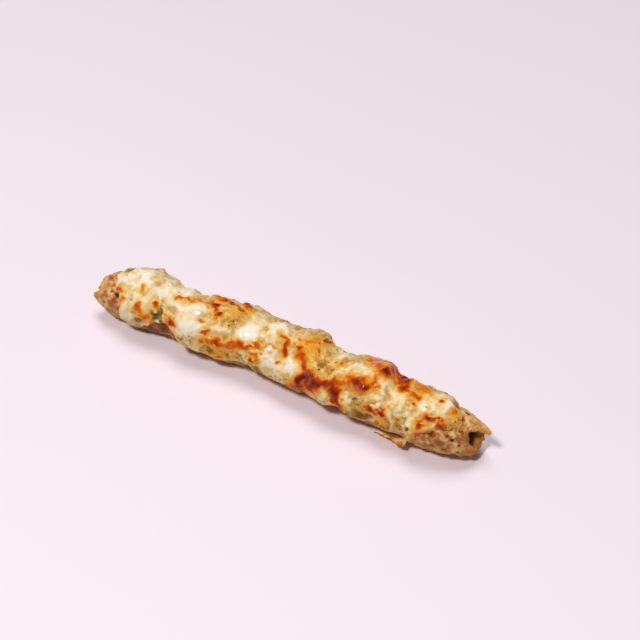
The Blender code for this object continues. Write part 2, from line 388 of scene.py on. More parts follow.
def mince_colour(finish, grain):
    """Baked mince: tan grains from pale fat to brown, with olive and scorched patches."""
    blotch = finish.mottle(4.2 * MM, 3, 0.5, 0.6)
    fine = finish.mottle(1.3 * MM, 2)
    flesh = finish.ramp(
        finish.blend((blotch, 1.4), (fine, 0.5), (grain, 0.12)),
        (0.22, paint(150, 84, 30)),
        (0.4, paint(202, 138, 70)),
        (0.52, paint(224, 168, 102)),
        (0.64, paint(238, 194, 132)),
        (0.8, paint(246, 218, 172)),
    )
    olive = finish.spread(finish.mottle(5.0 * MM, 2, 0.5, 0.4), 0.56, 0.7)
    flesh = finish.mix(finish.math("MULTIPLY", olive, 0.5), flesh, paint(180, 144, 70))
    scorch = finish.spread(finish.mottle(3.2 * MM, 3, 0.6, 0.5), 0.6, 0.72)
    return finish.mix(finish.math("MULTIPLY", scorch, 0.6), flesh, paint(176, 88, 26))


meat = Finish("baked_mince")
flesh = mince_colour(meat, meat.stored("grain"))
crack = meat.spread(meat.stored("grain"), 0.0, 0.5, 0.2, 0)
flesh = meat.mix(crack, flesh, paint(116, 66, 28))
flesh = meat.mix(meat.math("MULTIPLY", meat.stored("lip"), 0.5), flesh, paint(222, 152, 60))
# Scorch in the specks and pits, and painted shade in the broad patches below the cheese's hem
flesh = meat.mix(meat.spread(meat.stored("scorch_and_shade"), 0.08, 0.4, 0, 0.85), flesh, paint(158, 78, 26))
flesh = meat.mix(meat.spread(meat.stored("scorch_and_shade"), 0.42, 0.85), flesh, paint(34, 14, 6))
# Painted shade: the meat darker and yellower where it turns down towards the floor
flesh = meat.mix(meat.stored("painted_shade"), flesh, paint(222, 202, 140), "MULTIPLY")
# Painted shade inside the skewer's hole: golden at the lip and darkening to near black deeper in
painted_bore_shade = meat.ramp(
    meat.stored("hole_shade_depth"), (0.0, paint(222, 170, 92)), (0.4, paint(166, 116, 48)), (1.0, paint(52, 30, 8)))
flesh = meat.mix(meat.spread(meat.stored("hole_shade_depth"), 0.04, 0.6, 0, 0.8), flesh, painted_bore_shade)
meat.link(flesh, meat.shader.inputs["Base Color"])
meat_fine = meat.mottle(0.7 * MM, 4)
meat.link(meat.spread(meat_fine, 0.3, 0.7, 0.24, 0.5), meat.shader.inputs["Roughness"])
meat.shader.inputs["Subsurface Weight"].default_value = 0.2
meat.shader.inputs["Subsurface Radius"].default_value = (1.0, 0.5, 0.3)
meat.shader.inputs["Subsurface Scale"].default_value = 0.7 * MM
meat.shader.inputs["Specular IOR Level"].default_value = 0.25
meat.shader.inputs["Specular Tint"].default_value = paint(255, 214, 170)
meat.shader.inputs["Coat Weight"].default_value = 0.14
meat.shader.inputs["Coat Roughness"].default_value = 0.1
meat.bump(meat.math("ADD", meat_fine, meat.mottle(1.8 * MM, 2)), 0.4 * MM)
add_piece(meat_mesh, meat.material, "kofta_meat", "kofta_meat")

# The cheese. Grated mozzarella melted into one skin that ran down both sides, set in round lobes at its
# lower edge, drew in over the hollows as white pools, and swelled and browned on whatever stood highest
# under the grill.
CHEESE_COLUMNS = 410
CHEESE_ROWS = 112
CHEESE_SINK = 0.3 * MM
CHEESE_THICKNESS = 1.7 * MM
POOL_RELIEF, POOL_SIZE = 1.0 * MM, 13 * MM
CHEESE_GAP = 0.45 * MM
BEAD_WIDTH = 1.9 * MM
# How sharply the browning ends round a blister, and along a ridge
BLISTER_STEEPNESS, RIDGE_STEEPNESS = 3.4, 2.5
LOOSE_STRANDS, TOASTED_FLECKS = 170, 420

# Angle in degrees round the roll, and where the cheese ends along X in mm
LEFT_BORDER = (
    (-100, -83), (-60, -86), (-30, -90), (-6, -91), (17, -88.5), (31, -87), (45, -84), (61, -83),
    (90, -82.5), (112, -80),
)
RIGHT_BORDER = (
    (-100, 82), (-50, 86), (-19, 88), (-2, 92), (30, 93), (42, 89.5), (55, 83), (75, 77.5), (90, 75.5),
    (112, 73),
)
# Place along X in mm, and angle in degrees that the cheese hangs to
NEAR_HEM = (
    (-92, 112), (-82, 110), (-77, 119), (-72, 112), (-68, 97), (-63, 80), (-58, 74), (-53, 84),
    (-47, 104), (-38, 102), (-29, 112), (-20, 104), (-8, 112), (4, 106), (16, 98), (26, 112), (36, 100),
    (46, 108), (54, 98), (64, 108), (72, 114), (76, 108), (94, 108),
)
FAR_HEM = (
    (-92, -84), (-82, -84), (-72, -100), (-62, -84), (-50, -104), (-38, -90), (-24, -108), (-10, -92),
    (4, -106), (18, -92), (30, -102), (44, -90), (56, -100), (68, -84), (78, -96), (86, -90), (94, -90),
)
# Where a second lobe ran down over the first: angle in degrees, and place along X in mm
LOBE_FRONT = ((20, -66), (36, -63.7), (48, -62), (62, -59.8), (90, -57))
LOBE_MIDDLE, LOBE_SPAN = 66, 42

# Blisters: place along X and angle, half length and half width in mm, height in mm, how brown from 0 to 1
BLISTERS = [
    (-85.0, 40, 2.4, 1.1, 0.5, 0.80), (-81.0, 54, 2.6, 1.1, 0.4, 0.40), (-73.3, 27, 2.0, 1.7, 0.3, 0.32),
    (-72.6, 61, 2.6, 1.6, 0.7, 0.54), (-68.3, 72, 4.2, 2.2, 0.6, 0.46), (-64.7, 80, 1.6, 1.4, 0.4, 0.46),
    (-64.6, 43, 2.2, 2.4, 1.0, 0.50), (-54.8, 59, 3.2, 1.8, 0.8, 0.74), (-37.3, 1, 2.2, 2.1, 0.4, 0.76),
    (-39.4, 38, 1.4, 0.9, 0.2, 0.42), (-36.2, 57, 1.9, 1.6, 0.5, 0.80), (-33.1, 22, 2.0, 1.3, 0.5, 0.84),
    (-37.4, 74, 2.0, 1.3, 0.3, 0.55), (-28.0, 96, 3.0, 1.2, 0.2, 0.45), (12.5, 36, 2.9, 2.6, 0.9, 0.62),
    (-10.4, 78, 1.7, 1.3, 0.4, 0.72), (-6.9, 56, 1.7, 0.9, 0.3, 0.42), (2.4, 61, 1.1, 0.9, 0.2, 0.50),
    (3.3, 3, 2.2, 1.0, 0.2, 0.35), (13.1, 4, 2.0, 1.2, 0.2, 0.46), (16.6, -4, 1.4, 1.2, 0.3, 0.66),
    (19.0, 9, 1.8, 1.0, 0.3, 0.60), (31.0, 8, 2.0, 1.4, 0.3, 0.48), (9.6, 24, 2.2, 1.0, 0.3, 0.58),
    (42.4, 33, 6.4, 3.1, 2.0, 0.80), (46.3, 38, 4.0, 2.3, 1.2, 0.84), (51.2, -4, 3.2, 3.2, 0.8, 0.76),
    (61.4, -8, 2.8, 3.6, 0.8, 0.80), (57.3, 65, 2.4, 2.0, 0.9, 0.95), (52.8, 70, 3.4, 1.8, 0.5, 0.70),
    (60.4, 44, 1.2, 0.9, 0.2, 0.52), (65.7, 62, 1.2, 1.0, 0.4, 0.56), (69.9, 23, 1.0, 0.8, 0.2, 0.66),
    (80.8, 0, 1.5, 0.8, 0.3, 0.64), (79.3, 37, 3.4, 1.5, 1.1, 0.80), (76.2, 50, 1.7, 1.6, 0.7, 0.76),
    (83.8, 32, 2.2, 1.0, 0.5, 0.66), (85.6, 45, 2.5, 1.8, 0.7, 0.94), (77.4, 76, 2.4, 2.6, 0.5, 0.60),
    (82.2, 69, 2.0, 1.5, 0.3, 0.82), (88.0, 4, 1.1, 2.0, 0.3, 0.55), (90.5, 24, 0.8, 1.2, 0.3, 0.72),
    (-51.5, 3, 1.6, 0.9, 0.4, 0.72), (-43.5, 3, 2.4, 0.8, 0.3, 0.56), (34.6, 70, 2.6, 3.4, 0.7, 0.92),
    (15.5, 2, 7.0, 6.0, 0.0, 0.30), (-26.0, 8, 6.0, 4.0, 0.0, 0.24), (19.0, 61, 3.0, 1.2, 0.3, 1.00),
]
# Browned ridges: their points as place along X and angle, half width in mm, height in mm, how brown
RIDGES = [
    (((-56, 6), (-53.5, 4), (-50, 4), (-48, 8)), 1.3, 0.3, 0.60),
    (((-48, -4), (-45, 0), (-41.5, 4), (-39, -4)), 1.2, 0.4, 0.50),
    (((-38.6, -8), (-36.8, 6), (-35.6, 14)), 1.0, 0.4, 0.74),
    (((-40.5, -32), (-36.5, -22), (-31, -20)), 1.8, 0.6, 0.62),
    (((-27, -36), (-24.8, -26), (-23.5, -16)), 1.5, 0.6, 0.84),
    (((-31, -13), (-26, -7), (-24.5, -4)), 1.0, 0.4, 0.56),
    (((-34, 70), (-30, 69), (-26.5, 66), (-22, 63), (-18.5, 61)), 1.6, 0.7, 0.66),
    (((-18.6, 60), (-15.5, 56), (-12.5, 50), (-10.4, 46)), 1.2, 0.5, 0.66),
    (((-31.5, 70), (-28, 68)), 1.0, 0.3, 0.84),
    (((-6.6, 40), (-3.4, 38), (0, 37)), 0.6, 0.3, 0.40),
    (((-2.2, 15), (0.8, 17), (3.4, 22), (4.6, 27)), 0.9, 0.5, 0.70),
    (((2.2, 25), (3.6, 31), (4.3, 38)), 1.2, 0.5, 0.86),
    (((10.9, 34), (15.5, 44), (19.0, 50)), 1.7, 0.6, 0.64),
    (((17.2, -16), (18.2, -26), (18.8, -44)), 1.3, 0.6, 0.84),
    (((11.5, 97), (14.5, 92), (17.6, 84), (20.6, 74), (23.5, 64)), 2.5, 0.8, 0.96),
    (((14.4, 78), (17.4, 66), (20.2, 56)), 2.2, 0.7, 0.98),
    (((18.2, 50), (21.5, 52), (25.6, 54), (29.0, 50), (32.5, 44)), 1.5, 0.8, 0.86),
    (((22.6, 62), (27.2, 57), (31.0, 50)), 1.1, 0.5, 0.98),
    (((32.0, 48), (33.5, 60), (35.5, 76), (38.0, 86)), 1.7, 0.7, 0.88),
    (((33.0, 47), (36.0, 44), (38.6, 40)), 1.2, 0.4, 0.72),
    (((41.5, -36), (44.0, -24), (46.5, -14), (49.0, -6)), 3.2, 0.4, 0.50),
    (((66.0, -32), (70.0, -22), (73.5, -12)), 3.2, 0.2, 0.40),
    (((51.0, -48), (52.6, -28), (53.0, -10)), 2.2, 0.5, 0.80),
    (((49.0, 10), (50.0, 20), (51.0, 30)), 1.3, 0.2, 0.50),
    (((57.6, -56), (58.4, -38), (59.6, -22)), 3.2, 0.5, 0.96),
    (((59.6, -24), (61.4, -8), (64.0, 1), (67.6, 6), (71.2, 8)), 1.4, 0.4, 0.60),
    (((49.4, 70), (53.4, 63), (56.6, 56), (58.8, 52)), 0.8, 0.3, 0.56),
    (((74.6, 50), (77.0, 42), (80.5, 34), (84.6, 32), (87.0, 36)), 0.9, 0.4, 0.66),
    (((76.0, 84), (77.6, 74), (79.8, 64), (83, 58)), 1.0, 0.3, 0.58),
    (((85.0, 66), (86.8, 78), (87.4, 90)), 1.0, 0.2, 0.74),
    (((91.4, -10), (92.0, 2), (91.4, 14)), 0.6, 0.2, 0.55),
    (((-34.5, 76), (-30.0, 80), (-24, 78), (-18.5, 70)), 0.9, 0.2, 0.38),
    (((-12.8, 64), (-9.0, 66), (-7.4, 74)), 0.8, 0.3, 0.46),
]
# Pools: place along X and angle, half length and half width in mm, how white from 0 to 1
POOLS = [
    (-82.6, 12, 5, 3, 0.8), (-74.8, 2, 3, 5, 0.8), (-80.0, -4, 4, 3, 0.6), (-64.5, 13, 4.5, 2.6, 0.7),
    (-79.5, 66, 2.5, 1.6, 0.5), (-51.0, 25, 6, 2.2, 0.8), (-45.8, 52, 5, 3.4, 1.0),
    (-76.0, 96, 3, 3, 0.4), (-17.2, 24, 4.6, 4.4, 1.0), (-5.2, -1, 6, 2.6, 0.9),
    (-3.2, 46, 2.6, 1.1, 1.0), (10.0, 60, 3.2, 2.6, 1.0), (42.4, 0, 5, 4.6, 0.55),
    (25.5, 82, 4.6, 2.6, 0.8), (1.0, 74, 4, 2.4, 0.35), (74.0, 24, 2.6, 2.0, 0.8),
    (84.0, -4, 3, 2.6, 0.5), (21.5, 10, 0.9, 0.8, 0.8), (66, 46, 2.4, 1.8, 0.5), (62, 18, 4, 2.6, 0.4),
    (28.0, -18, 2.4, 2.0, 0.3), (-55, -14, 5, 3, 0.4), (80.0, 22, 2.4, 1.2, 0.5), (-72, 22, 11, 8, 0.34),
    (20.5, 22, 2.6, 2.0, 0.35), (-79, 88, 5, 5, 0.5), (-58, 18, 8, 5, 0.5), (0, -4, 9, 4, 0.4),
    (-40, 62, 5, 4, 0.4), (0, 66, 7, 4, 0.4),
]
# Thin stretches where the mince and its fat show gold: place and angle, half length and half width in mm,
# and how thin from 0 to 1
THIN = [
    (15.5, 4, 9, 6.5, 1.0), (24.0, 20, 6, 5.5, 0.9), (-26.5, 14, 6.5, 5.0, 0.9), (8.5, 22, 3, 3, 0.6),
    (-27.0, 84, 9, 3.0, 0.9), (-44.0, -12, 7, 3.4, 0.7), (-31.0, -12, 5, 4.0, 0.8),
    (47.5, 83, 4.5, 3.6, 1.0), (60.0, 84, 3.4, 3.4, 1.0), (81.0, 74, 5, 4.4, 0.9),
    (-70.0, -6, 4, 3.0, 0.6), (-56.0, 36, 3.6, 1.7, 0.7), (34.0, -4, 3.4, 3, 0.8),
    (49.5, 30, 3, 4.0, 0.8), (-67.5, 72, 5, 3.6, 0.7), (56.0, 30, 4, 3, 0.4), (42.0, -30, 8, 6, 0.8),
    (71.0, -22, 6, 5, 0.7), (-10.0, -26, 7, 3.6, 0.3), (4.0, -14, 4, 3, 0.5), (89.5, 20, 3.4, 7, 0.8),
    (88.0, 50, 3, 4, 1.0), (66.0, -14, 4, 3, 0.6), (69.0, 88, 6, 4, 0.55), (-86.5, -16, 3, 5, 0.7),
]
# Thin stretches that stayed pale and grey-green: place and angle, half length and half width in mm
PALE = [
    (43.0, 60, 4.6, 4.4), (26.0, 84, 5.5, 3.2), (-13.5, 84, 4.5, 3.0), (-42.0, 84, 6, 3.6),
    (67.5, 66, 4, 4.6), (71.0, 96, 4, 3), (-62.4, 40, 1.6, 3), (5.5, 84, 5, 3),
]
# Stretches where brown mince shows through: place and angle, half length and half width in mm
BARE = [
    (58.5, 96, 2.6, 3.4), (48.5, 92, 4.4, 2.6), (-29.0, 100, 3.2, 2.4), (-8.0, 97, 2.6, 1.8),
    (62.5, 104, 2, 2), (-39.0, 104, 2.2, 1.6), (-76.0, 115, 4, 1.4), (40.0, 99, 3, 1.8),
    (52.0, 82, 3, 1.4), (79.5, 66, 2.4, 1.4), (-86.0, -14, 2.4, 2.2), (15.0, 102, 4, 1.6),
]

# The far side isn't seen in any one view of the near one, so it gets blisters, ridges and pools of its own
FAR_BLISTERS, FAR_RIDGES, FAR_POOLS = 34, 18, 16
chance = random.Random(7)
for spot in range(FAR_BLISTERS):
    size = chance.uniform(0.9, 2.8)
    BLISTERS.append((
        chance.uniform(-84, 86), chance.uniform(-98, -48), size, size * chance.uniform(0.6, 1.1),
        0.3 * size, chance.uniform(0.45, 0.92),
    ))
for spot in range(FAR_RIDGES):
    start, turn = chance.uniform(-80, 78), chance.uniform(-92, -50)
    step = chance.uniform(3, 7)
    bend = chance.uniform(-14, 14)
    route = ((start, turn), (start + step, turn + bend), (start + 2 * step, turn + chance.uniform(-14, 14)))
    RIDGES.append((route, chance.uniform(0.8, 1.7), 0.5, chance.uniform(0.55, 0.92)))
for spot in range(FAR_POOLS):
    start, turn, size = chance.uniform(-80, 82), chance.uniform(-98, -45), chance.uniform(3, 6)
    POOLS.append((start, turn, size, 0.7 * size, chance.uniform(0.3, 0.9)))
    THIN.append((
        chance.uniform(-80, 82), chance.uniform(-98, -45), chance.uniform(3, 7), chance.uniform(2, 4), 0.8,
    ))
    BARE.append((
        chance.uniform(-80, 82), chance.uniform(-98, -72), chance.uniform(1.5, 4), chance.uniform(1, 2.4),
    ))

shape = bmesh.new()
layer = shape.verts.layers.int.new("upper")
bmesh.ops.create_grid(shape, x_segments=CHEESE_COLUMNS, y_segments=CHEESE_ROWS, size=1)
raised = bmesh.ops.extrude_face_region(shape, geom=shape.faces[:])["geom"]
for item in raised:
    if isinstance(item, bmesh.types.BMVert):
        item[layer] = 1
cheese_mesh = finish_mesh("melted_cheese_skin", shape)
grid = coordinates(cheese_mesh)
upper = np.zeros(len(grid), np.int32)
cheese_mesh.attributes["upper"].data.foreach_get("value", upper)
upper = upper.astype(bool)


def ragged(x, turn, size, shift):
    """Unevenness of a cheese edge, from -1 to 1."""
    return lumps(on_cylinder(x, turn), size, shift)


across = (grid[:, 1] + 1) / 2
facing = LEFT_BORDER[0][0] + (LEFT_BORDER[-1][0] - LEFT_BORDER[0][0]) * across
left = along(LEFT_BORDER, facing * MM) * MM
right = along(RIGHT_BORDER, facing * MM) * MM
left += 1.1 * MM * ragged(left, np.radians(facing), 4 * MM, (1, 0, 0))
right += 1.6 * MM * ragged(right, np.radians(facing), 3.5 * MM, (2, 0, 0))
x = left + (right - left) * (grid[:, 0] + 1) / 2
near = along(NEAR_HEM, x) + 5 * ragged(x, np.ones(len(x)), 4.5 * MM, (3, 0, 0))
far = along(FAR_HEM, x) + 5 * ragged(x, -np.ones(len(x)), 4.5 * MM, (4, 0, 0))
angle = np.radians(far + (near - far) * across)
to_near = np.radians(near) - angle
to_far = angle - np.radians(far)
to_hem = np.minimum(to_near, to_far) * MEAN_RADIUS
to_edge = np.minimum(to_hem, np.minimum(x - left, right - x))

# Every outline on the cheese wanders a little, in mm along the roll and round it
points = on_cylinder(x, angle)
wander = np.stack([lumps(points, 3.4 * MM, (9, 0, 0)), lumps(points, 3.4 * MM, (0, 9, 0))], axis=1) * 1.7
wander += np.stack([lumps(points, 1.3 * MM, (9, 0, 4)), lumps(points, 1.3 * MM, (0, 9, 4))], axis=1) * 0.5
flat_x = x / MM + wander[:, 0]
flat_y = angle * MEAN_RADIUS / MM + wander[:, 1]


def reach_of_spot(place, degrees, length, width, loose=1.0):
    """How far each point is from a spot's middle, as a share of its size.

    A loose spot has a wandering outline.
    """
    past = x / MM + loose * wander[:, 0] - place
    aside = (angle - math.radians(degrees)) * MEAN_RADIUS / MM + loose * wander[:, 1]
    return np.hypot(past / length, aside / width)


def reach_of_ridge(route, width):
    """How far each point is from a ridge's middle line, as a share of its half width."""
    nearest = np.full(len(flat_x), 1e9)
    spots = [(place, math.radians(degrees) * MEAN_RADIUS / MM) for place, degrees in route]
    for (x0, y0), (x1, y1) in zip(spots, spots[1:]):
        dx, dy = x1 - x0, y1 - y0
        share = np.clip(((flat_x - x0) * dx + (flat_y - y0) * dy) / (dx * dx + dy * dy), 0, 1)
        nearest = np.minimum(nearest, np.hypot(flat_x - x0 - share * dx, flat_y - y0 - share * dy))
    return nearest / width


def dome(reach):
    """A swollen, steep-sided bump: 1 in the middle and 0 from its rim on."""
    return np.clip(1 - reach**2, 0, 1) ** 0.52


def stain(reach, steepness):
    """Browning: full in the middle, then fading through orange to a soft golden rim."""
    return 1.05 / (1 + 1.3 * np.clip(reach, 0, None) ** steepness)


# How far each point is raised, how brown it is, and how near to a browned place
patchy = lumps(points, 2.4 * MM, (6, 1, 6))
speckled = lumps(points, 1.0 * MM, (1, 6, 6))
uneven = 0.55 * patchy + 0.35 * speckled
raised_by = np.zeros(len(x))
brown = np.zeros(len(x))
glow = np.zeros(len(x))
for place, degrees, length, width, height, depth in BLISTERS:
    reach = reach_of_spot(place, degrees, length, width, 0.5)
    raised_by = np.maximum(raised_by, height * dome(reach * 0.85))
    heart = 1.16 - 0.22 * np.clip(reach / 0.75, 0, 1) ** 2
    wandering = 1.06 * reach_of_spot(place, degrees, length, width) + 0.4 * uneven
    brown = np.maximum(brown, depth * heart * stain(wandering, BLISTER_STEEPNESS))
    glow = np.maximum(glow, depth * np.clip(1 - (reach - 1) * min(length, width) / 2.6, 0, 1))
for route, width, height, depth in RIDGES:
    reach = reach_of_ridge(route, width)
    raised_by = np.maximum(raised_by, height * dome(reach * 0.8))
    brown = np.maximum(brown, depth * stain(reach + 0.8 * uneven, RIDGE_STEEPNESS))
    glow = np.maximum(glow, depth * np.clip(1 - (reach - 1) * width / 3, 0, 1))
pooled = np.zeros(len(x))
for place, degrees, length, width, share in POOLS:
    reach = reach_of_spot(place, degrees, length, width)
    pooled = np.maximum(pooled, share * np.exp(-(reach**2) / 1.3))
thin = np.zeros(len(x))
for place, degrees, length, width, share in THIN:
    reach = reach_of_spot(place, degrees, length, width)
    thin = np.maximum(thin, share * np.clip((1.5 - reach) / 0.8, 0, 1))
pale = np.zeros(len(x))
for place, degrees, length, width in PALE:
    pale = np.maximum(pale, np.clip((1.5 - reach_of_spot(place, degrees, length, width)) / 0.9, 0, 1))
bare = np.zeros(len(x))
for place, degrees, length, width in BARE:
    bare = np.maximum(bare, np.exp(-(reach_of_spot(place, degrees, length, width) ** 2) / 1.2))
thin *= 1 - 0.8 * pooled
# One pale shred that lies on the skin unmelted
shred = dome(reach_of_ridge(((52.4, 63), (54.2, 57.5), (56.1, 52)), 0.62))
pooled = np.maximum(pooled, 0.6 * shred)
raised_by += 0.6 * shred
brown *= 1 - 0.85 * shred

# Strands of the grated cheese that never quite melted flat, and small toasted flecks on their crests
strands = np.zeros(len(x))
for strand in range(LOOSE_STRANDS):
    start, turn = chance.uniform(-88, 90), chance.uniform(-98, 104)
    aim = chance.uniform(0, 2 * math.pi)
    route = [(start, turn)]
    for bend in range(3):
        aim += chance.uniform(-0.5, 0.5)
        start += 3.2 * math.cos(aim)
        turn += math.degrees(3.2 * MM * math.sin(aim) / MEAN_RADIUS)
        route.append((start, turn))
    strands = np.maximum(strands, chance.uniform(0.5, 1) * dome(reach_of_ridge(route, 0.95)))
flecks = np.zeros(len(x))
for fleck in range(TOASTED_FLECKS):
    size = chance.uniform(0.35, 1.0)
    place, degrees = chance.uniform(-88, 92), chance.uniform(-98, 104)
    reach = reach_of_spot(place, degrees, size * chance.uniform(1, 2), size)
    flecks = np.maximum(flecks, chance.uniform(0.14, 0.42) * stain(reach + 0.4 * patchy, RIDGE_STEEPNESS))
brown = np.maximum(brown, flecks * np.clip(0.55 + 0.6 * thin - 0.5 * pooled, 0, 1))
brown = np.maximum(brown, np.clip(glow, 0, 1) * (0.13 + 0.2 * strands + 0.3 * patchy))
brown *= 0.98 + 0.1 * strands + 0.5 * lumps(points, 3.6 * MM, (4, 6, 1)) + 0.12 * speckled
brown = np.where(brown > 0.58, 0.58 + 0.55 * (brown - 0.58), brown)

# The second lobe stops in a rounded front, over a crease and a valley in the first; both are darkened with
# painted shade
turn = np.degrees(angle)
ahead = x - along(LOBE_FRONT, turn * MM) * MM
facing_lobe = swell(turn - LOBE_MIDDLE, LOBE_SPAN)
step_up = np.where(ahead > 0, 1.3 * np.exp(-ahead / (4 * MM)) * np.clip(ahead / (0.6 * MM), 0, 1), 0)
step_down = np.where(ahead <= 0, np.exp(ahead / (2.2 * MM)), 0)
lobe_step = facing_lobe * (step_up - 0.9 * step_down)
painted_crease_shade = facing_lobe**2 * swell(ahead + 0.5 * MM, 1.8 * MM)
valley = reach_of_ridge(((-71.5, 84), (-67.5, 76), (-64.0, 69), (-62.0, 60), (-61.6, 50)), 1.6)
painted_crease_shade = np.maximum(painted_crease_shade, 0.9 * np.exp(-(valley**2)))

# Thickness in mm: lumps, strands and wrinkles, sunk where it is thin and rounded to a bead along its edge
body = CHEESE_THICKNESS / MM + POOL_RELIEF / MM * lumps(points, POOL_SIZE, (3, 7, 1)) + 0.45 * pooled
body += 1.6 * lumps(points, 6.5 * MM, (8, 2, 5)) * (1 - 0.4 * pooled) - 0.7 * np.exp(-(valley**2))
body += 1.2 * (0.3 - abs(lumps(points, 4.2 * MM, (2, 2, 8)))) * (1 - 0.8 * pooled)
wrinkles = 0.4 * lumps(points, 2.0 * MM, (7, 3, 3)) * (1 - 0.7 * thin)
body += 0.5 * strands * (1 - 0.6 * pooled) + wrinkles * (1 - 0.8 * pooled)
body -= 0.6 * thin * np.clip(body - 0.7, 0, 3)
body += 0.6 * thin * lumps(points, 4.0 * MM, (1, 8, 8))
body += lobe_step
body = np.clip(body, 0.35, 4) + raised_by
front = np.clip(to_edge / BEAD_WIDTH, 0, 1)
edge_body = along(((-92, 1.9), (40, 1.5), (62, 1.2), (78, 0.5), (90, 0.25), (94, 0.2)), x)
body = np.minimum(body, edge_body + np.clip(to_edge / MM - 1.2, 0, None) * 0.55 + 0.5 * raised_by)
thickness = (0.1 + body * np.sqrt(1 - (1 - front) ** 2)) * MM
base = plain_radius(x) + meat_relief(x, angle)
radius = base + np.where(upper, CHEESE_GAP + thickness, -CHEESE_SINK)
placed = on_roll(x + tear(x, angle), angle, radius, along(DRIFT, x) * MM)
move_corners(cheese_mesh, placed)

# How far each point stands over the cheese around it, in mm, which tells crests from hollows
column = np.rint((grid[:, 0] + 1) / 2 * CHEESE_COLUMNS).astype(int)
row = np.rint((grid[:, 1] + 1) / 2 * CHEESE_ROWS).astype(int)
sheet = np.zeros((CHEESE_COLUMNS + 1, CHEESE_ROWS + 1))
sheet[column[upper], row[upper]] = radius[upper] / MM
smooth = sheet
for repeat in range(3):
    padded = np.pad(smooth, 2, mode="edge")
    smooth = sum(padded[i:i + sheet.shape[0], 2:-2] for i in range(5)) / 5
    padded = np.pad(smooth, 2, mode="edge")
    smooth = sum(padded[2:-2, i:i + sheet.shape[1]] for i in range(5)) / 5
relief = (sheet - smooth)[column, row]
# The cheese thins out to a clear film towards its right edge, and its near hem browned there
film = np.clip(1 - to_edge / (3.5 * MM), 0, 1) * np.clip((x / MM - 66) / 14, 0, 1)
rim = swell(to_near * MEAN_RADIUS, 2.2 * MM) * np.clip((x / MM - 38) / 8, 0, 1)
brown = np.maximum(brown, 0.42 * rim)
store(cheese_mesh, "brown", brown)
store(cheese_mesh, "glow", np.clip(glow + 0.5 * patchy * glow, 0, 1))
# Painted light on crests and painted shade in hollows, read from that relief
store(cheese_mesh, "painted_relief_shading", np.clip(0.5 + 0.6 * relief, 0, 1))
# Painted shade, darker and more golden, down both sides of the roll away from its top
store(cheese_mesh, "painted_side_shade", np.clip((abs(turn) - 50) / 60, 0, 1) * (1 - 0.8 * pooled))
store(cheese_mesh, "pooled", pooled)
store(cheese_mesh, "thin", np.maximum(thin, film))
store(cheese_mesh, "film", film)
store(cheese_mesh, "pale", pale)
store(cheese_mesh, "bare", bare)
away_from_grill = np.clip(np.maximum((turn - 50) / 30, (-turn - 12) / 24), 0, 1)
store(cheese_mesh, "glossy", 1 - 0.85 * away_from_grill)
# Painted shade where the cheese turns down towards the floor, and half as much over its far side
turned_down_shade, far_side_shade = np.clip((abs(turn) - 66) / 50, 0, 1), np.clip((-turn - 4) / 30, 0, 1)
store(cheese_mesh, "painted_shade", np.maximum(turned_down_shade, 0.5 * far_side_shade))
# Painted shade in the crease under the second lobe's front and along the valley
store(cheese_mesh, "painted_crease_shade", painted_crease_shade)
store(cheese_mesh, "hollow", np.clip(1.4 - body, 0, 1))

cheese = Finish("melted_cheese")
broad = cheese.mottle(9 * MM, 2)
blotch = cheese.mottle(3.2 * MM, 3, 0.5, 0.8)
fine = cheese.mottle(1.0 * MM, 3)
painted_relief_shading = cheese.stored("painted_relief_shading")
# Cream: darker and greener in the hollows and whiter on crests, painted shade and painted light that follow
# the relief; whiter in pools, and warmer round each browned place
milk = cheese.blend((broad, 1.1), (blotch, 0.75), (fine, 0.25), (painted_relief_shading, 0.65))
whiter = cheese.math("ADD", cheese.math("MULTIPLY", cheese.stored("pooled"), 0.36), 0.03)
milk = cheese.math("ADD", milk, whiter)
milk = cheese.math("SUBTRACT", milk, cheese.math("MULTIPLY", cheese.stored("glow"), 0.24))
cream = cheese.ramp(
    milk,
    (0.18, paint(206, 150, 68)),
    (0.34, paint(228, 190, 118)),
    (0.48, paint(240, 214, 160)),
    (0.64, paint(247, 230, 192)),
    (0.84, paint(250, 243, 228)),
)
# The pale and the thin gold stretches are also lighter on crests and darker in hollows: painted light and
# shade
grey_green = cheese.ramp(
    cheese.blend((blotch, 1.5), (fine, 0.5), (painted_relief_shading, 0.6)),
    (0.2, paint(122, 92, 36)),
    (0.36, paint(196, 172, 112)),
    (0.55, paint(228, 212, 164)),
    (0.8, paint(244, 236, 210)),
)
cream = cheese.mix(cheese.math("MULTIPLY", cheese.stored("pale"), 0.85), cream, grey_green)
olive = cheese.spread(cheese.mottle(6.5 * MM, 3, 0.5, 0.8), 0.5, 0.68, 0, 0.55)
cream = cheese.mix(cheese.math("MULTIPLY", olive, cheese.math("SUBTRACT", 1.0, cheese.stored("pooled"))),
                   cream, paint(208, 160, 66))
amber = cheese.ramp(
    cheese.blend((cheese.mottle(5 * MM, 2, 0.5, 0.4), 1.5), (blotch, 1.0), (fine, 0.3), (painted_relief_shading, 0.6)),
    (0.14, paint(142, 90, 26)),
    (0.34, paint(178, 118, 34)),
    (0.5, paint(206, 146, 54)),
    (0.68, paint(228, 180, 98)),
    (0.88, paint(250, 226, 166)),
)
cream = cheese.mix(cheese.spread(cheese.stored("thin"), 0.1, 0.9, 0, 0.95), cream, amber)
flesh = mince_colour(cheese, painted_relief_shading)
cream = cheese.mix(cheese.stored("film"), cream, flesh)
dull = cheese.math("MULTIPLY", cheese.stored("hollow"), 0.4)
cream = cheese.mix(dull, cream, paint(196, 146, 62))
